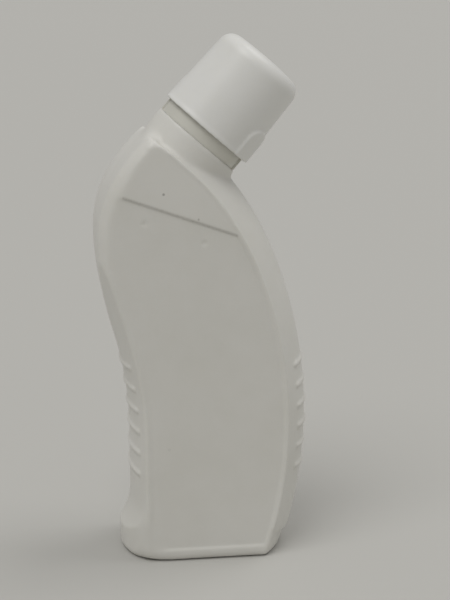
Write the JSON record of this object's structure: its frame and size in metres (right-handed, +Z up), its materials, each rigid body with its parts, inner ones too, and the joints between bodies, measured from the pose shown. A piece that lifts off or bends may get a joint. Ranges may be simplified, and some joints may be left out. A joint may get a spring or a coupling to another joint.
{
  "type": "toilet gel bottle",
  "caption": "White flat-sided toilet gel bottle with a bent neck, ribbed narrow sides for the grip and a squeeze-and-turn screw cap over a pouring nozzle.",
  "frame": {"origin": "on the surface that the bottle stands on, under the middle of its base", "axes": "+Z up, +X the way the neck leans, Y across the two broad faces"},
  "size_m": [0.1048, 0.055, 0.2577],
  "materials": {
    "bottle_white": "satin blow-moulded HDPE",
    "nozzle_natural": "satin LDPE",
    "cap_white": "satin moulded PP",
    "liner_foam": "matt foam"
  },
  "bodies": {
    "bottle": {"bottle": "bottle_white", "shoulder": "bottle_white", "neck": "bottle_white", "nozzle_plug": "nozzle_natural", "pouring_nozzle": "nozzle_natural"},
    "liner": {"seal_liner": "liner_foam"},
    "cap": {"cap": "cap_white", "cap_sleeve": "cap_white"}
  },
  "joints": [
    {"name": "cap_lift", "type": "slide", "parent": "bottle", "child": "liner", "axis": [0.6561, 0, 0.7547], "range_m": [0, 0.0063]},
    {"name": "cap_turn", "type": "hinge", "parent": "liner", "child": "cap", "pos_m": [0.00277, 0, 0.21206], "axis": [0.6561, 0, 0.7547], "range_deg": [0, 540]}
  ],
  "couplings": [
    {"joint": "cap_lift", "follows": "cap_turn", "m_per_rad": 0.00066845}
  ]
}
